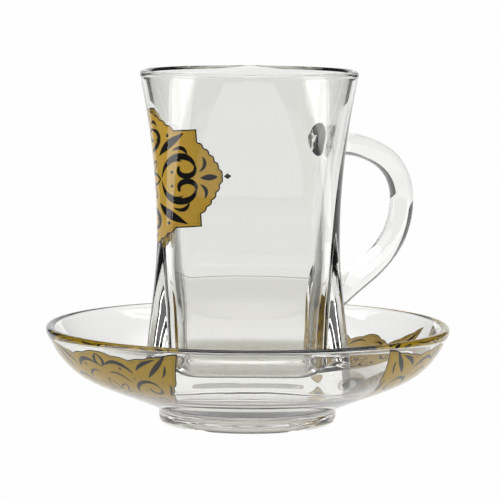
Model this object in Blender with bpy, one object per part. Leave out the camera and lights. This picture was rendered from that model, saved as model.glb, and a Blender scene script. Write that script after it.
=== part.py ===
"""Turkish tea glass with its saucer: a pressed clear glass with an ear handle, standing in a clear glass dish.

Metres, +Z up. The origin is the middle of the saucer's foot, on the surface that it stands on. The glass is round at
its rim and a rounded square from the waist down. Its faces look along X and Y, and the handle stands on the corner
between +X and +Y. The glass rests loose in the saucer's well.
"""

from math import atan2, cos, pi, radians, sin, sqrt, tan

import bmesh
import bpy
from mathutils import Vector

# Saucer: overall size, foot ring and well. The pulls shape the two curves of its bowl.
SAUCER_RADIUS = 0.0601
SAUCER_LIP_Z = 0.0280
LIP_RADIUS = 0.0014
FOOT_RING_RADIUS = 0.0263
FOOT_RING_WIDTH = 0.0045
FOOT_RING_HEIGHT = 0.0046
FOOT_RING_ROUNDING = 0.0011
FOOT_RING_TAPER = 0.0016
RECESS_Z = 0.0060
RECESS_ROUNDING = 0.0012
WELL_RADIUS = 0.0355
WELL_Z = 0.0108
BOWL_INSIDE_PULLS = ((0.0442, 0.0136), (0.0522, 0.0166))
BOWL_OUTSIDE_PULLS = ((0.0528, 0.0123), (0.0472, 0.0136))
SAUCER_STEPS = 64

# Glass: heights, widths and walls. It stands RESTING_GAP above the well.
RESTING_GAP = 0.0003
GLASS_BASE_Z = WELL_Z + RESTING_GAP
GLASS_RIM_Z = 0.1045
WAIST_Z = 0.0570
WAIST_HALF = 0.0266
RIM_HALF = 0.0326
BASE_HALF = 0.0299
SWELL_HEIGHT = 0.0450
CORNER_RADIUS = 0.0095
FOOT_ROUNDING = 0.0032
RIM_WALL = 0.0024
WALL_TAPER = 0.030
WALL_TAPER_START_Z = 0.0950
WALL_SWELL = 2.4
WALL_SWELL_START_Z = 0.0660
CAVITY_FLOOR_Z = 0.0150
CAVITY_ROUNDING = 0.0050
CAVITY_LEAST_HALF = 0.0217
CAVITY_CORNER_RADIUS = 0.0050
GLASS_COLUMNS = 48
COLUMN_CROWDING = 0.15
OUTSIDE_LEVELS = 17
INSIDE_LEVELS = 14

# Handle: a bar in the upright plane through the corner, as distance from the axis and height
HANDLE_ANGLE = radians(45)
HANDLE_TOP_ROOT = (0.0318, 0.0820)
HANDLE_TOP_PULL = (0.0610, 0.0808)
HANDLE_BACK = (0.0672, 0.0626)
HANDLE_BACK_RISE = 0.0078
HANDLE_BACK_DROP = 0.0196
HANDLE_LOW_PULL = (0.0400, 0.0374)
HANDLE_LOW_ROOT = (0.0328, 0.0339)
HANDLE_HALF_THICK = 0.0034
HANDLE_HALF_DEEP = 0.0036
ROOT_FLARE = 0.0018
ROOT_FLARE_SHARE = 0.18
LOW_ROOT_SWELL = 0.0016
HANDLE_SIDES = 12


def clear_scene():
    for old in list(bpy.data.objects):
        bpy.data.objects.remove(old, do_unlink=True)


def clear_glass(name, color):
    """Clear pressed glass."""
    material = bpy.data.materials.new(name)
    material.use_nodes = True
    shader = material.node_tree.nodes["Principled BSDF"]
    shader.inputs["Base Color"].default_value = (*color, 1.0)
    shader.inputs["Roughness"].default_value = 0.02
    shader.inputs["Metallic"].default_value = 0.0
    shader.inputs["IOR"].default_value = 1.51
    shader.inputs["Transmission Weight"].default_value = 1.0
    return material


def add_object(name, mesh, material):
    obj = bpy.data.objects.new(name, mesh)
    mesh.materials.append(material)
    bpy.context.scene.collection.objects.link(obj)
    return obj


def loft(rings):
    """A closed body: neighbouring rings bridged, and the first and last ring capped."""
    bm = bmesh.new()
    loops = []
    for ring in rings:
        points = [bm.verts.new(p) for p in ring]
        loops.append([bm.edges.new((a, b)) for a, b in zip(points, points[1:] + points[:1])])
    for low, high in zip(loops, loops[1:]):
        bmesh.ops.bridge_loops(bm, edges=low + high)
    for end in (loops[0], loops[-1]):
        bmesh.ops.edgeloop_fill(bm, edges=end)
    bmesh.ops.recalc_face_normals(bm, faces=bm.faces)
    mesh = bpy.data.meshes.new("loft")
    bm.to_mesh(mesh)
    bm.free()
    mesh.shade_smooth()
    mesh.set_sharp_from_angle(angle=radians(50))
    return mesh


def bezier(start, start_pull, end_pull, end, steps):
    """Points of one cubic curve, both ends included."""
    curve = []
    for i in range(steps + 1):
        t = i / steps
        weights = ((1 - t) ** 3, 3 * t * (1 - t) ** 2, 3 * t * t * (1 - t), t**3)
        pulls = (start, start_pull, end_pull, end)
        curve.append(tuple(sum(w * p[k] for w, p in zip(weights, pulls)) for k in (0, 1)))
    return curve


def arc(centre, radius, start, stop, steps):
    """Points of a round stretch, its angles in degrees, both ends included."""
    angles = [radians(start + (stop - start) * i / steps) for i in range(steps + 1)]
    return [(centre[0] + radius * cos(a), centre[1] + radius * sin(a)) for a in angles]


def section_radius(angle, half, corner):
    """Distance from the axis to a rounded square of this half-width and corner radius. A corner as large as the
    half-width makes it a circle."""
    turned = abs((angle + pi / 4) % (pi / 2) - pi / 4)
    inset = half - corner
    if half * tan(turned) <= inset:
        return half / cos(turned)
    across = inset * (cos(turned) - sin(turned))
    return inset * (cos(turned) + sin(turned)) + sqrt(max(corner**2 - across**2, 0.0))


def outer_half(z):
    """Half-width of the glass: a parabola from the waist up to the rim, and a half cosine down to the foot."""
    if z > WAIST_Z:
        return WAIST_HALF + (RIM_HALF - WAIST_HALF) * ((z - WAIST_Z) / (GLASS_RIM_Z - WAIST_Z)) ** 2
    swell = 1 - cos(pi * (WAIST_Z - z) / SWELL_HEIGHT)
    return WAIST_HALF + (BASE_HALF - WAIST_HALF) * swell / 2


def outer_corner(z):
    """Corner radius: constant below the waist. Above it the corner's ridge leans in by a parabola to meet the round
    rim, and the radius that puts the ridge there grows to a full circle."""
    if z <= WAIST_Z:
        return CORNER_RADIUS
    waist_ridge = WAIST_HALF * sqrt(2) - CORNER_RADIUS * (sqrt(2) - 1)
    rise = (z - WAIST_Z) / (GLASS_RIM_Z - WAIST_Z)
    ridge = waist_ridge + (RIM_HALF - waist_ridge) * rise**2
    return (outer_half(z) * sqrt(2) - ridge) / (sqrt(2) - 1)


def wall(z):
    """Wall thickness: thin at the rim, and thickening ever faster below the waist."""
    taper = WALL_TAPER * max(WALL_TAPER_START_Z - z, 0.0)
    return RIM_WALL + taper + WALL_SWELL * max(WALL_SWELL_START_Z - z, 0.0) ** 2


def inner_half(z):
    """Half-width of the cavity: the outside less the wall, and upright near the floor, where the outside flares."""
    return max(outer_half(z) - wall(z), CAVITY_LEAST_HALF)


def glass_ring(z, half, corner):
    """One level of the glass. The columns crowd at the corners, where the section turns."""
    ring = []
    for i in range(GLASS_COLUMNS):
        angle = 2 * pi * i / GLASS_COLUMNS
        angle += COLUMN_CROWDING * sin(4 * angle)
        r = section_radius(angle, half, min(corner, half))
        ring.append(Vector((r * cos(angle), r * sin(angle), z)))
    return ring


def glass_levels():
    """(height, half-width, corner radius) from the foot up the outside, over the rim and down to the cavity's floor."""
    levels = []
    side_start = GLASS_BASE_Z + FOOT_ROUNDING
    for pull, rise in arc((1.0, 1.0), 1.0, 270, 180, 4)[:-1]:
        half, corner = outer_half(side_start), CORNER_RADIUS
        inward = FOOT_ROUNDING * pull
        levels.append((GLASS_BASE_Z + FOOT_ROUNDING * rise, half - inward, corner - inward))
    rim_start = GLASS_RIM_Z - RIM_WALL / 2
    for i in range(OUTSIDE_LEVELS + 1):
        z = side_start + (rim_start - side_start) * i / OUTSIDE_LEVELS
        levels.append((z, outer_half(z), outer_corner(z)))
    rim_middle = outer_half(rim_start) - RIM_WALL / 2
    for half, z in arc((rim_middle, rim_start), RIM_WALL / 2, 0, 180, 6)[1:]:
        levels.append((z, half, half))
    side_end = CAVITY_FLOOR_Z + CAVITY_ROUNDING
    for i in range(1, INSIDE_LEVELS + 1):
        z = rim_start + (side_end - rim_start) * i / INSIDE_LEVELS
        corner = max(outer_corner(z) - wall(z), CAVITY_CORNER_RADIUS)
        levels.append((z, inner_half(z), corner))
    side = levels[-1][1]
    for pull, rise in arc((1.0, 1.0), 1.0, 180, 270, 6)[1:]:
        half = side - CAVITY_ROUNDING * pull
        levels.append((CAVITY_FLOOR_Z + CAVITY_ROUNDING * rise, half, CAVITY_CORNER_RADIUS))
    return levels


def handle_rings():
    """Oval rings along two curves that meet at the handle's back, with flared roots sunk in the glass's corner."""
    rise = (HANDLE_BACK[0], HANDLE_BACK[1] + HANDLE_BACK_RISE)
    drop = (HANDLE_BACK[0], HANDLE_BACK[1] - HANDLE_BACK_DROP)
    path = bezier(HANDLE_TOP_ROOT, HANDLE_TOP_PULL, rise, HANDLE_BACK, 12)
    path += bezier(HANDLE_BACK, drop, HANDLE_LOW_PULL, HANDLE_LOW_ROOT, 14)[1:]
    last = len(path) - 1
    rings = []
    for i, (rho, z) in enumerate(path):
        before, after = path[max(i - 1, 0)], path[min(i + 1, last)]
        slope = atan2(after[1] - before[1], after[0] - before[0])
        along = i / last
        nearness = max(1 - min(along, 1 - along) / ROOT_FLARE_SHARE, 0.0)
        flare = ROOT_FLARE * nearness**2
        thick = HANDLE_HALF_THICK + flare + LOW_ROOT_SWELL * along**2
        deep = HANDLE_HALF_DEEP + flare
        ring = []
        for side in range(HANDLE_SIDES):
            a = 2 * pi * side / HANDLE_SIDES
            out = rho - sin(slope) * thick * cos(a)
            across = deep * sin(a)
            x = out * cos(HANDLE_ANGLE) - across * sin(HANDLE_ANGLE)
            y = out * sin(HANDLE_ANGLE) + across * cos(HANDLE_ANGLE)
            ring.append(Vector((x, y, z + cos(slope) * thick * cos(a))))
        rings.append(ring)
    return rings


def build_glass():
    """The glass and its handle, pressed as one piece."""
    material = clear_glass("clear_glass", (0.93, 0.95, 0.93))
    glass = add_object("tea_glass", loft([glass_ring(*level) for level in glass_levels()]), material)
    handle = add_object("handle_bar", loft(handle_rings()), material)
    handle.hide_render = True
    handle.display_type = "WIRE"
    join = glass.modifiers.new("handle", "BOOLEAN")
    join.operation = "UNION"
    join.object = handle


def saucer_profile():
    """The saucer's half section, (radius, height), from the middle of the well over the lip and down to the recess."""
    lip = arc((SAUCER_RADIUS - LIP_RADIUS, SAUCER_LIP_Z), LIP_RADIUS, 160, -20, 6)
    inside = bezier((WELL_RADIUS, WELL_Z), *BOWL_INSIDE_PULLS, lip[0], 11)
    outside = bezier(lip[-1], *BOWL_OUTSIDE_PULLS, (FOOT_RING_RADIUS, FOOT_RING_HEIGHT), 12)
    edge = (FOOT_RING_RADIUS - FOOT_RING_ROUNDING, FOOT_RING_ROUNDING)
    foot = arc(edge, FOOT_RING_ROUNDING, 0, -90, 3)
    inner = FOOT_RING_RADIUS - FOOT_RING_WIDTH
    foot += [(inner + FOOT_RING_TAPER, 0.0), (inner, RECESS_Z - RECESS_ROUNDING)]
    recess = [(inner - RECESS_ROUNDING, RECESS_Z), (0.0, RECESS_Z)]
    return [(0.0, WELL_Z)] + inside + lip[1:] + outside[1:] + foot + recess


def build_saucer():
    """The dish: its half section turned round the Z axis."""
    profile = saucer_profile()
    mesh = bpy.data.meshes.new("saucer_profile")
    edges = [(i, i + 1) for i in range(len(profile) - 1)]
    mesh.from_pydata([(r, 0.0, z) for r, z in profile], edges, [])
    saucer = add_object("saucer", mesh, clear_glass("saucer_glass", (0.94, 0.955, 0.945)))
    turn = saucer.modifiers.new("turned", "SCREW")
    turn.steps = turn.render_steps = SAUCER_STEPS
    turn.use_merge_vertices = True
    turn.merge_threshold = 0.00005
    turn.use_smooth_shade = True


clear_scene()
build_saucer()
build_glass()
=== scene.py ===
"""The looks of a turkish tea glass on its saucer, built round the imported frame.

Both are clear pressed glass with fired gold prints. The sections follow the object from the ground up: the
saucer, its three prints, the glass with its handle, the print on its corner, and last the studio and the
camera. Lengths are in metres, and the prints are drawn in millimetres. The glass is round at its rim and a
rounded square from the waist down, with faces that look along X and Y.
"""

import bpy
import numpy as np
from mathutils import Euler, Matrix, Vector


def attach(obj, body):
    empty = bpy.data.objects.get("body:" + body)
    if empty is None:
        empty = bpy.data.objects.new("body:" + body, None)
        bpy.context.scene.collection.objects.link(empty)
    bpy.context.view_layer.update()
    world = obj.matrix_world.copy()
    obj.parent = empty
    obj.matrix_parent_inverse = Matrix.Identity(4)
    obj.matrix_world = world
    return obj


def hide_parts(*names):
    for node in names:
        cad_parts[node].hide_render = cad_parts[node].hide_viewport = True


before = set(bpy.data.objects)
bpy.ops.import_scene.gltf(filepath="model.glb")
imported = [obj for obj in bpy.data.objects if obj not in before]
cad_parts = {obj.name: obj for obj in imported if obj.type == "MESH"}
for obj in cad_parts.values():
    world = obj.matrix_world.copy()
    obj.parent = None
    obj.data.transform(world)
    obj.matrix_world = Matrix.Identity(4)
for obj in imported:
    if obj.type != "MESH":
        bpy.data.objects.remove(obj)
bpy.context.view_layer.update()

# Saucer
# A dish of clear soda-lime glass, pressed in a mould and fire-polished, so that every edge is round: a flat
# well, a bowl that steepens to a thick lip, and a hollow foot ring. Its colour is darkened round the well:
# painted shade, for the shaded floor under the dish seen through it.
saucer_radius, lip_height, lip_round = 0.0601, 0.0280, 0.0014
foot_radius, foot_width, foot_height = 0.0263, 0.0045, 0.0046
foot_round, foot_taper, recess_height, recess_round = 0.0011, 0.0016, 0.0060, 0.0012
well_radius, well_height = 0.0355, 0.0108
bowl_inside_pulls = ((0.0442, 0.0136), (0.0522, 0.0166))
bowl_outside_pulls = ((0.0528, 0.0123), (0.0472, 0.0136))
axis_gap, section_spacing, section_passes, saucer_columns = 0.0003, 0.00045, 8, 256


def cubic(start, start_pull, end_pull, end, steps):
    """Points of a cubic curve in a plane: its four points weighted by (1-t)^3, 3t(1-t)^2, 3t^2(1-t) and t^3,
    with t from 0 to 1."""
    t = np.linspace(0.0, 1.0, steps + 1)[:, None]
    a, b, c, d = (np.array(point) for point in (start, start_pull, end_pull, end))
    return (1 - t) ** 3 * a + 3 * t * (1 - t) ** 2 * b + 3 * t**2 * (1 - t) * c + t**3 * d


def round_stretch(centre, radius, begin, stop, steps):
    """Points of a circle's stretch, its angles in degrees: the centre plus radius times (cosine, sine)."""
    angle = np.radians(np.linspace(begin, stop, steps + 1))
    return np.array(centre) + radius * np.stack([np.cos(angle), np.sin(angle)], -1)


def even_steps(path, spacing):
    """The same path with points at equal distances: both coordinates read off at even lengths along it."""
    length = np.concatenate([[0.0], np.cumsum(np.linalg.norm(np.diff(path, axis=0), axis=1))])
    at = np.linspace(0.0, length[-1], int(length[-1] / spacing) + 1)
    return np.stack([np.interp(at, length, path[:, 0]), np.interp(at, length, path[:, 1])], -1)


def softened(path, passes):
    """The path with its corners melted round: each point becomes half itself and a quarter of each neighbour,
    and the two ends stay."""
    path = path.copy()
    for _ in range(passes):
        path[1:-1] = path[1:-1] / 2 + (path[:-2] + path[2:]) / 4
    return path


def saucer_section():
    """The half section, (radius, height), from the middle of the well over the lip and down to the middle of
    the recess under the foot."""
    lip = round_stretch((saucer_radius - lip_round, lip_height), lip_round, 160, -20, 20)
    inside = cubic((well_radius, well_height), *bowl_inside_pulls, lip[0], 60)
    outside = cubic(lip[-1], *bowl_outside_pulls, (foot_radius, foot_height), 60)
    foot = round_stretch((foot_radius - foot_round, foot_round), foot_round, 0, -90, 10)
    inner = foot_radius - foot_width
    hollow = [
        (inner + foot_taper, 0.0),
        (inner, recess_height - recess_round),
        (inner - recess_round, recess_height),
    ]
    well_end, recess_end = [(axis_gap, well_height)], [(axis_gap, recess_height)]
    path = np.concatenate([well_end, inside, lip[1:], outside[1:], foot, hollow, recess_end])
    return softened(even_steps(path, section_spacing), section_passes)


def solid_of_rings(name, rings):
    """A closed body from rings of points, an array (rings, points, 3): quads between neighbouring rings, and
    a fan from the middle of the first and of the last ring. Its faces are turned round if its signed volume
    is negative."""
    rows, around = rings.shape[:2]
    points = np.concatenate([rings.reshape(-1, 3), rings[:1].mean(1), rings[-1:].mean(1)])
    row, here = np.meshgrid(np.arange(rows - 1) * around, np.arange(around), indexing="ij")
    beside = (here + 1) % around
    quads = np.stack([row + here, row + around + here, row + around + beside, row + beside], -1)
    quads = quads.reshape(-1, 4)
    here, beside = here[0], beside[0]
    last = (rows - 1) * around
    first_fan = np.stack([np.full(around, rows * around), here, beside], -1)
    last_fan = np.stack([np.full(around, rows * around + 1), last + beside, last + here], -1)
    corners = points[quads]
    volume = np.einsum("ij,ij->", corners[:, 0], np.cross(corners[:, 1], corners[:, 2]))
    volume += np.einsum("ij,ij->", corners[:, 0], np.cross(corners[:, 2], corners[:, 3]))
    turn = 1 if volume > 0 else -1
    faces = [face[:, ::turn].tolist() for face in (quads, first_fan, last_fan)]
    mesh = bpy.data.meshes.new(name)
    mesh.from_pydata(points.tolist(), [], faces[0] + faces[1] + faces[2])
    mesh.shade_smooth()
    obj = bpy.data.objects.new(name, mesh)
    bpy.context.scene.collection.objects.link(obj)
    return obj


def pressed_glass(name, tint, painted_shade_tint, painted_shade_level, painted_shade_reach, wave_scale, wave_depth):
    """Clear glass: light goes through, and slow waves in the skin, left by the mould and the flame, bend it a
    little. Near a level, where the glass is thick, its colour is darkened: painted shade, for the shaded floor
    seen through the glass there. The darkening begins at the reach above and below the level, and is full from
    half the reach."""
    material = bpy.data.materials.new(name)
    material.use_nodes = True
    nodes, links = material.node_tree.nodes, material.node_tree.links
    shader = nodes["Principled BSDF"]
    shader.inputs["Roughness"].default_value = 0.0
    shader.inputs["IOR"].default_value = 1.51
    shader.inputs["Transmission Weight"].default_value = 1.0
    place = nodes.new("ShaderNodeTexCoord")
    height = nodes.new("ShaderNodeSeparateXYZ")
    offset = nodes.new("ShaderNodeMath")
    offset.operation = "SUBTRACT"
    offset.inputs[1].default_value = painted_shade_level
    away = nodes.new("ShaderNodeMath")
    away.operation = "ABSOLUTE"
    # Painted shade: this factor darkens the glass's colour near the level.
    thick = nodes.new("ShaderNodeMapRange")
    thick.interpolation_type = "SMOOTHSTEP"
    thick.inputs["From Min"].default_value = painted_shade_reach
    thick.inputs["From Max"].default_value = painted_shade_reach / 2
    body = nodes.new("ShaderNodeMix")
    body.data_type = "RGBA"
    body.inputs["A"].default_value = (*tint, 1.0)
    body.inputs["B"].default_value = (*painted_shade_tint, 1.0)
    links.new(place.outputs["Object"], height.inputs["Vector"])
    links.new(height.outputs["Z"], offset.inputs[0])
    links.new(offset.outputs["Value"], away.inputs[0])
    links.new(away.outputs["Value"], thick.inputs["Value"])
    links.new(thick.outputs["Result"], body.inputs["Factor"])
    links.new(body.outputs["Result"], shader.inputs["Base Color"])
    waves = nodes.new("ShaderNodeTexNoise")
    waves.inputs["Scale"].default_value = wave_scale
    waves.inputs["Detail"].default_value = 2.0
    skin = nodes.new("ShaderNodeBump")
    skin.inputs["Strength"].default_value = 1.0
    skin.inputs["Distance"].default_value = wave_depth
    links.new(place.outputs["Object"], waves.inputs["Vector"])
    links.new(waves.outputs["Fac"], skin.inputs["Height"])
    links.new(skin.outputs["Normal"], shader.inputs["Normal"])
    return material


saucer_line = saucer_section()
round_angles = np.arange(saucer_columns) * 2 * np.pi / saucer_columns
saucer_rings = np.stack([
    saucer_line[:, :1] * np.cos(round_angles),
    saucer_line[:, :1] * np.sin(round_angles),
    np.repeat(saucer_line[:, 1:], saucer_columns, 1),
], -1)
saucer = solid_of_rings("saucer_dish", saucer_rings)
# The darker colour round the well is painted shade, for the shaded floor seen through the dish; the lighter
# tint is the glass's own.
saucer_glass = pressed_glass(
    "saucer_glass",
    tint=(0.92, 0.92, 0.90),
    painted_shade_tint=(0.50, 0.48, 0.42),
    painted_shade_level=0.0090,
    painted_shade_reach=0.0048,
    wave_scale=55.0,
    wave_depth=0.00005,
)
saucer.data.materials.append(saucer_glass)
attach(saucer, "root")
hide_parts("saucer")

# Prints on the saucer
# Three wide medallions in gold with black line-work, fired into the bowl's inner face as thin sheets just
# under the skin: a low one at the back right, and taller ones at front left and right. The one gold is painted
# lighter on the back-right one, where light falls on it, and darker on the front ones: painted light and
# painted shade.
print_depth, print_thickness, print_rings, outline_spacing = 0.03, 0.05, 72, 0.26
inner_line_gap, inner_line_half, ink_edge = 0.55, 0.06, 0.05
saucer_print_angles = (np.radians(43.0), np.radians(221.0), np.radians(-17.0))
saucer_print_radius, saucer_print_up_bowl = 46.0, 10.5
tall_widen, tall_lift, tall_ink, fine_ink = 1.12, 0.22, 0.75, 0.6


def scalloped(start, end, lobes, bulge, arch=0.0):
    """A line of small round lobes: along it the distance outwards is bulge times the size of a sine's swing,
    one swing a lobe, plus arch times a single half swing."""
    start, end = np.array(start), np.array(end)
    t = np.linspace(0.0, 1.0, lobes * 14 + 1)[:, None]
    along = end - start
    outwards = np.array([along[1], -along[0]]) / np.linalg.norm(along)
    swing = bulge * np.abs(np.sin(lobes * np.pi * t)) + arch * np.sin(np.pi * t)
    return start + along * t + outwards * swing


def mirrored_outline(upper, lower):
    """A closed outline from its two right-hand quarters, which run from the right tip to the top and to the
    bottom: the quarters and their mirror images, in order round the middle."""
    return np.concatenate([upper, upper[-2::-1] * (-1, 1), lower[1:] * (-1, 1), lower[-2:0:-1]])


def brush(start, start_pull, end_pull, end, radius, tips=0.25):
    """A stroke as (x, y, radius) of many discs: a cubic curve whose width swells from tips times the radius
    at its ends to the radius in the middle."""
    line = cubic(start, start_pull, end_pull, end, 48)
    swell = tips + (1 - tips) * np.sin(np.pi * np.linspace(0.0, 1.0, len(line)))
    return np.column_stack([line, radius * swell])


def dot(x, y, radius):
    """A dot, as one disc."""
    return np.array([(x, y, radius)])


def distance_to_discs(u, v, discs):
    """Distance to the edge of the nearest disc: the smallest of the distance to a middle less its radius. It
    is worked out for a few thousand points at a time."""
    nearest = []
    for block in np.array_split(np.arange(len(u)), 1 + len(u) // 4000):
        away = np.hypot(u[block, None] - discs[:, 0], v[block, None] - discs[:, 1])
        nearest.append((away - discs[:, 2]).min(1))
    return np.concatenate(nearest)


def flat_print(outline, ink_strokes, edge_line):
    """A print laid out flat: rings that are the outline scaled from its middle, out along the front and back
    along the rear, with their depths, and each point's distance in millimetres to the nearest black stroke,
    below 0 inside one. The strokes are mirrored left to right, and a heavy line with a thin one inside it
    follows the edge."""
    outline = even_steps(np.concatenate([outline, outline[:1]]), outline_spacing)[:-1]
    share = np.linspace(0.01, 1.0, print_rings)
    rings = share[:, None, None] * outline
    u, v = (np.append(rings[..., k].ravel(), 0.0) for k in (0, 1))
    rim = distance_to_discs(u, v, np.column_stack([outline, np.zeros(len(outline))]))
    strokes = distance_to_discs(np.abs(u), v, np.concatenate(ink_strokes))
    inner_line = np.abs(rim - edge_line - inner_line_gap) - inner_line_half
    ink = np.minimum(np.minimum(strokes, rim - edge_line), inner_line)
    front, middle = ink[:-1].reshape(rings.shape[:2]), ink[-1:]
    ink = np.concatenate([front.ravel(), front[::-1].ravel(), middle, middle])
    depth = np.repeat([print_depth, print_depth + print_thickness], print_rings)
    return np.concatenate([rings, rings[::-1]]), depth, ink


def thin_sheet(name, flat, place):
    """The closed sheet of a flat print, set on a surface by place(u, v, depth). Its ink is an attribute."""
    rings, depth, ink = flat
    u, v = rings[..., 0], rings[..., 1]
    sheet = solid_of_rings(name, place(u, v, np.broadcast_to(depth[:, None], u.shape)) * 0.001)
    sheet.data.attributes.new("ink", "FLOAT", "POINT").data.foreach_set("value", ink.astype(np.float32))
    return sheet


def gold_print(name, gold, deep_gold):
    """Fired gold enamel with black lines where the ink attribute is below 0. The gold is mottled where the
    screen laid it unevenly, and the black stands about a hundredth of a millimetre proud."""
    material = bpy.data.materials.new(name)
    material.use_nodes = True
    nodes, links = material.node_tree.nodes, material.node_tree.links
    shader = nodes["Principled BSDF"]
    shader.inputs["Roughness"].default_value = 0.5
    shader.inputs["Specular IOR Level"].default_value = 0.0
    place = nodes.new("ShaderNodeTexCoord")
    mottle = nodes.new("ShaderNodeTexNoise")
    mottle.inputs["Scale"].default_value = 420.0
    mottle.inputs["Detail"].default_value = 4.0
    mottle.inputs["Roughness"].default_value = 0.6
    gold_mix = nodes.new("ShaderNodeMix")
    gold_mix.data_type = "RGBA"
    gold_mix.inputs["A"].default_value = (*gold, 1.0)
    gold_mix.inputs["B"].default_value = (*deep_gold, 1.0)
    ink = nodes.new("ShaderNodeAttribute")
    ink.attribute_name = "ink"
    black = nodes.new("ShaderNodeMapRange")
    black.inputs["From Min"].default_value = ink_edge
    black.inputs["From Max"].default_value = -ink_edge
    colour = nodes.new("ShaderNodeMix")
    colour.data_type = "RGBA"
    colour.inputs["B"].default_value = (0.012, 0.011, 0.010, 1.0)
    proud = nodes.new("ShaderNodeBump")
    proud.inputs["Strength"].default_value = 0.5
    proud.inputs["Distance"].default_value = 0.00002
    links.new(place.outputs["Object"], mottle.inputs["Vector"])
    links.new(mottle.outputs["Fac"], gold_mix.inputs["Factor"])
    links.new(ink.outputs["Fac"], black.inputs["Value"])
    links.new(black.outputs["Result"], colour.inputs["Factor"])
    links.new(gold_mix.outputs["Result"], colour.inputs["A"])
    links.new(colour.outputs["Result"], shader.inputs["Base Color"])
    links.new(black.outputs["Result"], proud.inputs["Height"])
    links.new(proud.outputs["Normal"], shader.inputs["Normal"])
    return material


saucer_print_upper = np.concatenate([
    scalloped((18.6, 2.0), (18.2, 9.0), 2, 0.4),
    scalloped((18.2, 9.0), (19.4, 16.2), 1, 0.0)[1:],
    scalloped((19.4, 16.2), (7.0, 8.0), 3, 0.25)[1:],
    scalloped((7.0, 8.0), (0.0, 10.8), 2, 0.35)[1:],
])
saucer_print_lower = np.concatenate([
    scalloped((18.6, 2.0), (13.6, -8.4), 4, -0.4, -0.8),
    scalloped((13.6, -8.4), (0.0, -12.6), 4, -0.4, -0.6)[1:],
])
saucer_strokes = [
    dot(0.0, 0.0, 0.9),
    brush((1.6, 0.0), (3.0, 1.9), (4.8, 1.5), (6.2, 0.0), 0.34, 0.6),
    brush((1.6, 0.0), (3.0, -1.9), (4.8, -1.5), (6.2, 0.0), 0.34, 0.6),
    brush((0.0, 1.6), (1.7, 2.8), (1.4, 4.6), (0.0, 6.0), 0.34, 0.6),
    brush((0.0, -1.6), (1.7, -2.8), (1.4, -4.6), (0.0, -6.0), 0.34, 0.6),
    brush((1.3, 1.2), (1.7, 3.2), (2.8, 4.2), (4.5, 4.5), 0.32, 0.6),
    brush((1.3, 1.2), (3.4, 1.6), (4.4, 2.8), (4.5, 4.5), 0.32, 0.6),
    brush((1.3, -1.2), (1.7, -3.2), (2.8, -4.2), (4.5, -4.5), 0.32, 0.6),
    brush((1.3, -1.2), (3.4, -1.6), (4.4, -2.8), (4.5, -4.5), 0.32, 0.6),
    brush((6.6, 0.6), (7.4, 6.4), (13.6, 7.8), (14.2, 3.6), 0.80),
    brush((14.2, 3.6), (14.2, 0.8), (10.6, 0.9), (11.2, 3.6), 0.70, 0.5),
    brush((6.6, -0.6), (7.4, -6.0), (12.4, -6.8), (12.8, -3.4), 0.80),
    brush((12.8, -3.4), (12.8, -1.2), (9.8, -1.2), (10.2, -3.4), 0.66, 0.5),
    brush((12.6, 7.4), (14.4, 9.6), (16.2, 11.4), (18.2, 14.4), 0.95, 0.1),
    brush((16.0, 7.6), (17.2, 9.0), (17.4, 10.2), (17.6, 11.6), 0.45, 0.2),
    brush((15.4, 0.0), (16.0, 2.6), (17.4, 3.0), (17.2, 6.2), 0.50, 0.2),
    brush((1.4, 7.6), (3.6, 9.0), (5.8, 7.4), (7.4, 4.8), 0.50, 0.2),
    brush((0.0, -7.2), (2.6, -8.8), (6.2, -9.2), (9.6, -7.4), 0.60, 0.2),
    brush((4.6, -6.0), (6.0, -7.6), (8.6, -7.2), (9.6, -5.6), 0.45, 0.3),
    brush((0.0, -8.6), (0.0, -9.6), (0.0, -10.4), (0.0, -11.4), 0.60, 0.1),
    brush((13.4, -5.4), (14.8, -4.6), (15.6, -2.6), (15.4, -1.0), 0.45, 0.2),
    dot(9.4, 2.4, 0.45),
    dot(8.4, 6.6, 0.40),
    dot(15.6, 6.2, 0.35),
    dot(8.8, -2.2, 0.35),
]
tall_print_upper = np.concatenate([
    scalloped((18.6, 2.0), (21.6, 9.0), 2, 0.4),
    scalloped((21.6, 9.0), (23.4, 17.6), 1, 0.0)[1:],
    scalloped((23.4, 17.6), (10.0, 14.8), 3, 0.25)[1:],
    scalloped((10.0, 14.8), (0.0, 16.8), 2, 0.35)[1:],
])
tall_strokes = [stroke * (tall_widen, 1.0, tall_ink) for stroke in saucer_strokes]
for stroke in tall_strokes:
    stroke[:, 1] += np.maximum(stroke[:, 1], 0.0) * tall_lift
tall_strokes += [
    brush((0.0, 11.6), (2.0, 12.8), (1.8, 14.4), (0.0, 16.0), 0.55, 0.2),
    brush((1.8, 12.4), (4.4, 14.6), (7.8, 13.8), (9.8, 10.4), 0.70, 0.3),
    brush((11.2, 11.4), (12.6, 13.6), (14.6, 14.6), (17.2, 15.6), 0.60, 0.2),
    dot(6.4, 11.6, 0.45),
]
bowl_face = saucer_line[: np.argmax(saucer_line[:, 1])] * 1000
bowl_length = np.concatenate([[0.0], np.cumsum(np.linalg.norm(np.diff(bowl_face, axis=0), axis=1))])
bowl_length -= np.interp(well_radius * 1000, bowl_face[:, 0], bowl_length)
bowl_slope = np.gradient(bowl_face, axis=0)
bowl_slope /= np.linalg.norm(bowl_slope, axis=1)[:, None]


def on_bowl(middle):
    """Places a print on the bowl's inner face: v runs up the face along its section, u round the axis to the
    right as seen from outside, and depth goes square into the glass."""

    def place(u, v, depth):
        up = v + saucer_print_up_bowl
        radius, height = (np.interp(up, bowl_length, bowl_face[:, k]) for k in (0, 1))
        outward, rise = (np.interp(up, bowl_length, bowl_slope[:, k]) for k in (0, 1))
        radius, height = radius + rise * depth, height - outward * depth
        angle = middle + u / saucer_print_radius
        return np.stack([radius * np.cos(angle), radius * np.sin(angle), height], -1)

    return place


# Lit and shaded copies of the one gold: painted light on the back-right print, painted shade on the front
# ones.
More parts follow.
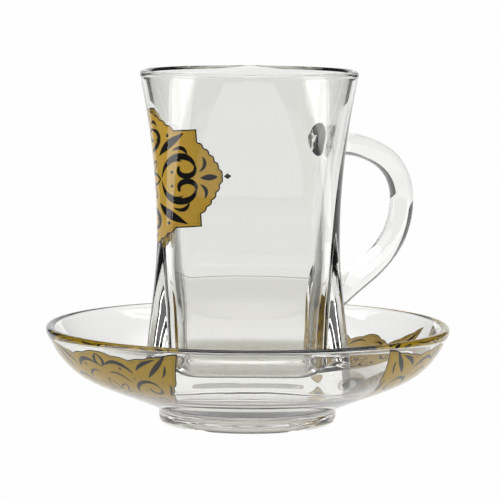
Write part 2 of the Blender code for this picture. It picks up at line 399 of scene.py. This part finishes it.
lit_painted_gold = gold_print("lit_painted_gold_print", (0.98, 0.74, 0.26), (0.92, 0.66, 0.20))
shaded_painted_gold = gold_print("shaded_painted_gold_print", (0.66, 0.42, 0.02), (0.50, 0.33, 0.01))
fine_strokes = [stroke * (1.0, 1.0, fine_ink) for stroke in saucer_strokes]
low_outline = mirrored_outline(saucer_print_upper, saucer_print_lower)
tall_outline = mirrored_outline(tall_print_upper, saucer_print_lower)
low_flat = flat_print(low_outline, fine_strokes, edge_line=0.20)
tall_flat = flat_print(tall_outline, tall_strokes, edge_line=0.30)
saucer_prints = ((low_flat, lit_painted_gold), (tall_flat, shaded_painted_gold), (tall_flat, shaded_painted_gold))
for number, (middle, (flat, gold)) in enumerate(zip(saucer_print_angles, saucer_prints), 1):
    medallion = thin_sheet(f"saucer_print_{number}", flat, on_bowl(middle))
    medallion.data.materials.append(gold)
    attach(medallion, "root")

# Tea glass and handle
# One piece of clear pressed glass: a waisted body, round at the rim and square at the foot, whose wall
# thickens downwards into a solid base, and an ear handle pressed on the corner between +X and +Y.
glass_base, glass_rim, waist = 0.0111, 0.1045, 0.0570
waist_half, rim_half, base_half, swell_height = 0.0266, 0.0326, 0.0299, 0.0450
corner_round, glass_foot_round, foot_hollow = 0.0095, 0.0032, 0.0006
rim_wall, taper_share, taper_top, swell_rate, swell_top = 0.0024, 0.030, 0.0950, 2.4, 0.0660
cavity_floor, cavity_round, cavity_corner, cavity_least_half = 0.0150, 0.0050, 0.0050, 0.0217
glass_columns, column_crowding, round_steps = 256, 0.15, 25
handle_upper = ((0.0318, 0.0820), (0.0610, 0.0808), (0.0672, 0.0704), (0.0672, 0.0626))
handle_lower = ((0.0672, 0.0626), (0.0672, 0.0430), (0.0400, 0.0374), (0.0328, 0.0339))
bar_thick, bar_thickening, bar_deep, root_flare, flare_share = 0.0034, 0.0016, 0.0036, 0.0018, 0.18
bar_spacing, bar_columns = 0.0007, 64


def outer_half(z):
    """Half-width: a parabola from the waist up to the rim, and half a cosine wave down to the foot."""
    above = waist_half + (rim_half - waist_half) * ((z - waist) / (glass_rim - waist)) ** 2
    below = waist_half + (base_half - waist_half) * (1 - np.cos(np.pi * (waist - z) / swell_height)) / 2
    return np.where(z > waist, above, below)


def outer_corner(z):
    """Corner radius: constant below the waist. Above it the corner's ridge leans in by a parabola to the
    round rim, and the radius is what puts the ridge there: (half-width times root 2, less the ridge) over
    (root 2, less 1)."""
    waist_ridge = waist_half * np.sqrt(2) - corner_round * (np.sqrt(2) - 1)
    ridge = waist_ridge + (rim_half - waist_ridge) * ((z - waist) / (glass_rim - waist)) ** 2
    above = (outer_half(z) * np.sqrt(2) - ridge) / (np.sqrt(2) - 1)
    return np.where(z > waist, np.minimum(above, outer_half(z)), corner_round)


def wall(z):
    """Wall thickness: the rim's, and added to it a straight taper down from one height and a parabola down
    from a lower one."""
    taper = taper_share * np.maximum(taper_top - z, 0.0)
    return rim_wall + taper + swell_rate * np.maximum(swell_top - z, 0.0) ** 2


def section_reach(angle, half, corner):
    """Distance from the axis to a rounded square: half over cosine on a flat, and on a corner the ray's
    length to the corner's circle, whose middle lies half less corner from both axes."""
    turned = np.abs((angle + np.pi / 4) % (np.pi / 2) - np.pi / 4)
    inset = half - corner
    across = inset * (np.cos(turned) - np.sin(turned))
    on_corner = inset * (np.cos(turned) + np.sin(turned)) + np.sqrt(np.maximum(corner**2 - across**2, 0.0))
    return np.where(half * np.tan(turned) <= inset, half / np.cos(turned), on_corner)


def glass_levels():
    """Rows of (height, half-width, corner radius) from the cavity's floor up the inside, over the rim, down
    the outside and round the foot to the middle of the shallow hollow under it."""
    turn = np.linspace(0.0, np.pi / 2, round_steps)
    side_low, rim_start = cavity_floor + cavity_round, glass_rim - rim_wall / 2
    z = np.linspace(side_low, rim_start, 70)
    inner_half = np.maximum(outer_half(z) - wall(z), cavity_least_half)
    inside = np.stack([z, inner_half, np.maximum(outer_corner(z) - wall(z), cavity_corner)], -1)
    half = inside[0, 1] - cavity_round * (1 - np.sin(turn))
    height = cavity_floor + cavity_round * (1 - np.cos(turn))
    floor = np.stack([height, half, np.full(round_steps, cavity_corner)], -1)
    over = np.linspace(np.pi, 0.0, round_steps)[1:-1]
    middle = outer_half(rim_start) - rim_wall / 2
    half = middle + rim_wall / 2 * np.cos(over)
    rim = np.stack([rim_start + rim_wall / 2 * np.sin(over), half, half], -1)
    side_end = glass_base + glass_foot_round
    z = np.linspace(rim_start, side_end, 96)
    outside = np.stack([z, outer_half(z), outer_corner(z)], -1)
    pull = glass_foot_round * (1 - np.cos(turn[1:]))
    drop = glass_foot_round * np.sin(turn[1:])
    foot = np.stack([side_end - drop, outer_half(side_end) - pull, corner_round - pull], -1)
    shrink = np.linspace(1.0, 0.02, 12)[1:]
    hollow = foot_hollow * np.minimum((1 - shrink) * 4, 1.0)
    under = np.stack([glass_base + hollow, foot[-1, 1] * shrink, foot[-1, 2] * shrink], -1)
    return np.concatenate([floor, inside[1:], rim, outside, foot, under])


def glass_body():
    """The body's rings: each level's rounded square, with more columns at the corners, where it turns."""
    level = glass_levels()
    angle = np.arange(glass_columns) * 2 * np.pi / glass_columns
    angle = angle + column_crowding * np.sin(4 * angle)
    reach = section_reach(angle, level[:, 1:2], np.minimum(level[:, 2:], level[:, 1:2]))
    height = np.repeat(level[:, :1], glass_columns, 1)
    return np.stack([reach * np.cos(angle), reach * np.sin(angle), height], -1)


def handle_bar():
    """The handle's rings: ovals square to two cubic curves that meet at its back, in the upright plane at 45
    degrees. The bar thickens towards its lower root, and both roots flare by a square law."""
    top, low = cubic(*handle_upper, 200), cubic(*handle_lower, 240)
    line = even_steps(np.concatenate([top, low[1:]]), bar_spacing)
    along = np.linspace(0.0, 1.0, len(line))[:, None]
    slope = np.gradient(line, axis=0)
    slope /= np.linalg.norm(slope, axis=1)[:, None]
    flare = root_flare * np.maximum(1 - np.minimum(along, 1 - along) / flare_share, 0.0) ** 2
    thick = bar_thick + flare + bar_thickening * along**2
    deep = bar_deep + flare
    around = np.arange(bar_columns) * 2 * np.pi / bar_columns
    out = line[:, :1] - slope[:, 1:] * thick * np.cos(around)
    height = line[:, 1:] + slope[:, :1] * thick * np.cos(around)
    across = deep * np.sin(around)
    return np.stack([(out - across) / np.sqrt(2), (out + across) / np.sqrt(2), height], -1)


glass = solid_of_rings("tea_glass_body", glass_body())
bar = solid_of_rings("handle_bar", handle_bar())
join = glass.modifiers.new("handle", "BOOLEAN")
join.operation = "UNION"
join.solver = "EXACT"
join.object = bar
joined = bpy.data.meshes.new_from_object(glass.evaluated_get(bpy.context.evaluated_depsgraph_get()))
glass.modifiers.clear()
glass.data = joined
joined.shade_smooth()
bpy.data.objects.remove(bar)
# The darker colour round the solid base is painted shade, for the shade where the glass stands in the well,
# seen through it; the lighter tint is the glass's own.
clear_glass = pressed_glass(
    "clear_glass",
    tint=(0.90, 0.903, 0.882),
    painted_shade_tint=(0.84, 0.84, 0.82),
    painted_shade_level=0.0125,
    painted_shade_reach=0.0060,
    wave_scale=45.0,
    wave_depth=0.00004,
)
glass.data.materials.append(clear_glass)
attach(glass, "root")
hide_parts("tea_glass")

# Print on the glass
# A wide eight-pointed medallion in gold and black, fired over the corner opposite the handle, with most of it
# on the face that looks along -X. A small black bud stands on each of its side points.
glass_print_angle, glass_print_height, glass_print_tilt = np.radians(204.5), 73.1, np.radians(4.0)
glass_ink_widen, glass_ink_bold, bud_reach = 1.36, 1.05, 30.9
glass_print_upper = np.concatenate([
    scalloped((29.5, 0.0), (22.7, 10.4), 5, 0.5, 0.8),
    scalloped((22.7, 10.4), (22.7, 14.1), 1, 0.0)[1:],
    scalloped((22.7, 14.1), (15.1, 14.1), 1, 0.0)[1:],
    scalloped((15.1, 14.1), (0.0, 20.5), 5, 0.5, 0.6)[1:],
])
glass_print_lower = glass_print_upper * (1, -1)
glass_strokes = [
    dot(0.0, 0.0, 1.1),
    brush((1.8, 0.0), (3.4, 2.3), (5.4, 1.9), (7.0, 0.0), 0.40, 0.6),
    brush((0.0, 1.8), (2.3, 3.4), (1.9, 5.4), (0.0, 7.0), 0.40, 0.6),
    brush((1.6, 1.6), (1.8, 3.9), (3.4, 5.2), (5.2, 5.2), 0.40, 0.6),
    brush((1.6, 1.6), (3.9, 1.8), (5.2, 3.4), (5.2, 5.2), 0.40, 0.6),
    brush((7.6, 0.7), (8.8, 7.4), (15.4, 8.4), (16.0, 3.0), 0.95),
    brush((16.0, 3.0), (16.0, -0.3), (11.6, 0.2), (12.3, 3.3), 0.80, 0.5),
    brush((0.9, 7.8), (7.4, 8.4), (8.2, 14.2), (3.1, 14.4), 0.90),
    brush((3.1, 14.4), (0.2, 14.2), (0.9, 10.8), (3.5, 11.2), 0.72, 0.5),
    brush((6.6, 6.8), (8.6, 9.6), (10.8, 10.8), (13.6, 13.0), 1.20, 0.1),
    brush((10.8, 8.2), (13.0, 9.8), (13.8, 8.6), (14.4, 7.0), 0.55, 0.2),
    brush((9.4, 3.6), (10.2, 5.4), (11.8, 6.0), (13.2, 4.8), 0.40, 0.2),
    brush((16.8, 1.8), (18.2, 3.0), (18.4, 4.4), (17.6, 6.2), 0.50, 0.2),
    brush((0.0, 16.0), (0.0, 17.2), (0.0, 18.4), (0.0, 19.8), 0.95, 0.1),
    brush((17.0, 0.0), (18.4, 0.0), (19.4, 0.0), (20.6, 0.0), 0.85, 0.1),
    brush((2.0, 15.8), (3.4, 17.4), (4.6, 16.6), (5.6, 15.2), 0.45, 0.2),
    dot(9.4, 12.6, 0.5),
    dot(5.6, 11.4, 0.4),
    dot(10.6, 2.0, 0.45),
]
glass_strokes = [stroke * (glass_ink_widen, 1.0, glass_ink_bold) for stroke in glass_strokes]
glass_strokes += [stroke * (1, -1, 1) for stroke in glass_strokes]


def on_corner_of_glass(u, v, depth):
    """Places the print on the body, turned a little in its own plane: v is the height, and u the length along
    the section from the print's middle. A table of the angle that each u falls at, worked out for a set of
    heights, is read between its rows."""
    along, up = np.cos(glass_print_tilt), np.sin(glass_print_tilt)
    u, v = u * along - v * up, u * up + v * along
    heights = np.linspace(48.0, 102.0, 55)
    swing = np.linspace(-1.35, 1.35, 541)
    lengths = np.linspace(-34.0, 34.0, 273)
    table = []
    for level in heights * 0.001:
        reach = section_reach(glass_print_angle + swing, outer_half(level), outer_corner(level)) * 1000
        line = np.stack([reach * np.cos(swing), reach * np.sin(swing)], -1)
        length = np.concatenate([[0.0], np.cumsum(np.linalg.norm(np.diff(line, axis=0), axis=1))])
        table.append(np.interp(lengths, length - length[len(swing) // 2], swing))
    table = np.array(table)
    z = v + glass_print_height
    row = (z - heights[0]) / (heights[1] - heights[0])
    column = (u - lengths[0]) / (lengths[1] - lengths[0])
    low, left = row.astype(int), column.astype(int)
    rise, right = row - low, column - left
    turn = (table[low, left] * (1 - right) + table[low, left + 1] * right) * (1 - rise)
    turn += (table[low + 1, left] * (1 - right) + table[low + 1, left + 1] * right) * rise
    angle = glass_print_angle + turn
    half, corner = outer_half(z * 0.001) - depth * 0.001, outer_corner(z * 0.001) - depth * 0.001
    reach = section_reach(angle, half, corner) * 1000
    return np.stack([reach * np.cos(angle), reach * np.sin(angle), z], -1)


glass_gold = gold_print("glass_gold_print", (0.98, 0.70, 0.13), (0.90, 0.60, 0.09))
glass_outline = mirrored_outline(glass_print_upper, glass_print_lower)
glass_flat = flat_print(glass_outline, glass_strokes, edge_line=0.36)
medallion = thin_sheet("glass_print", glass_flat, on_corner_of_glass)
medallion.data.materials.append(glass_gold)
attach(medallion, "root")
bud_outline = np.array([(1.1, 0.0), (0.0, 0.85), (-1.1, 0.0), (0.0, -0.85)])
bud_flat = flat_print(bud_outline, [dot(0.0, 0.0, 2.0)], edge_line=0.1)
for number, u_tip in enumerate((bud_reach, -bud_reach), 1):

    def on_tip(u, v, depth, u_tip=u_tip):
        """The same place on the glass, with the bud's middle just outside the medallion's point."""
        return on_corner_of_glass(u + u_tip, v, depth)

    bud = thin_sheet(f"glass_print_bud_{number}", bud_flat, on_tip)
    bud.data.materials.append(glass_gold)
    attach(bud, "root")

# Studio
# A white floor and a white card behind the object, both lit from within, in a dim room that brightens
# overhead, with a soft box on each side. The dim room is what gives clear glass its dark edges.
floor_half, floor_front, card_distance, card_height = 0.7, -0.34, 1.6, 0.8
white_glow, room_glow, overhead_glow, overhead_from, overhead_full = 0.99, 0.12, 2.4, 0.65, 0.95
box_wide, box_tall, box_glow = 0.5, 0.8, 3.0
box_side, box_front, box_height, box_dip = 0.9, -0.25, 0.35, 0.20
white = bpy.data.materials.new("lit_white")
white.use_nodes = True
white_shader = white.node_tree.nodes["Principled BSDF"]
white_shader.inputs["Base Color"].default_value = (0.0, 0.0, 0.0, 1.0)
white_shader.inputs["Roughness"].default_value = 1.0
white_shader.inputs["Specular IOR Level"].default_value = 0.0
white_shader.inputs["Emission Color"].default_value = (1.0, 1.0, 1.0, 1.0)
white_shader.inputs["Emission Strength"].default_value = white_glow
near_left, near_right = (-floor_half, floor_front, 0), (floor_half, floor_front, 0)
far_left, far_right = (-floor_half, card_distance, 0), (floor_half, card_distance, 0)
top_left, top_right = (-floor_half, card_distance, card_height), (floor_half, card_distance, card_height)
for name, corners in (
    ("floor", [near_left, near_right, far_right, far_left]),
    ("back_card", [far_left, far_right, top_right, top_left]),
):
    sheet = bpy.data.meshes.new(name)
    sheet.from_pydata(corners, [], [(0, 1, 2, 3)])
    sheet.materials.append(white)
    panel = bpy.data.objects.new(name, sheet)
    bpy.context.scene.collection.objects.link(panel)

surround = bpy.data.worlds.new("surround")
surround.use_nodes = True
bpy.context.scene.world = surround
sky, sky_links = surround.node_tree.nodes, surround.node_tree.links
direction = sky.new("ShaderNodeTexCoord")
split = sky.new("ShaderNodeSeparateXYZ")
overhead = sky.new("ShaderNodeMapRange")
overhead.interpolation_type = "SMOOTHSTEP"
overhead.inputs["From Min"].default_value = overhead_from
overhead.inputs["From Max"].default_value = overhead_full
overhead.inputs["To Min"].default_value = room_glow
overhead.inputs["To Max"].default_value = overhead_glow
sky_links.new(direction.outputs["Generated"], split.inputs["Vector"])
sky_links.new(split.outputs["Z"], overhead.inputs["Value"])
sky_links.new(overhead.outputs["Result"], sky["Background"].inputs["Color"])

for side in (-1, 1):
    lamp = bpy.data.lights.new("soft_box", "AREA")
    lamp.shape = "RECTANGLE"
    lamp.size, lamp.size_y = box_wide, box_tall
    lamp.energy = box_glow * np.pi * box_wide * box_tall
    holder = bpy.data.objects.new("soft_box", lamp)
    holder.location = (box_side * side, box_front, box_height)
    holder.rotation_euler = Vector((box_side * side, box_front, box_dip)).to_track_quat("Z", "Y").to_euler()
    bpy.context.scene.collection.objects.link(holder)

bpy.context.scene.view_settings.view_transform = "Standard"
bpy.context.scene.cycles.max_bounces = 32
bpy.context.scene.cycles.transmission_bounces = 24

# Camera
# A long lens, 42 mm higher than the rim of the glass, looks down on the object's middle and is turned by a
# third of a degree. A metre there spans 3375 pixels of a picture that is 500 pixels wide.
lens_position, lens_aim, lens_roll = Vector((0.0005, -0.925, 0.1465)), Vector((0.0005, 0.0, 0.0512)), 0.37
pixels_per_metre, picture_pixels = 3375, 500
lens = bpy.data.cameras.new("camera")
lens.sensor_width = 36.0
lens.lens = lens.sensor_width * pixels_per_metre * (lens_aim - lens_position).length / picture_pixels
lens.clip_end = 50.0
camera = bpy.data.objects.new("camera", lens)
camera.location = lens_position
look = (lens_aim - lens_position).to_track_quat("-Z", "Y").to_matrix()
look.rotate(look @ Euler((0, 0, np.radians(lens_roll))).to_matrix() @ look.transposed())
camera.rotation_euler = look.to_euler()
bpy.context.scene.collection.objects.link(camera)
bpy.context.scene.camera = camera
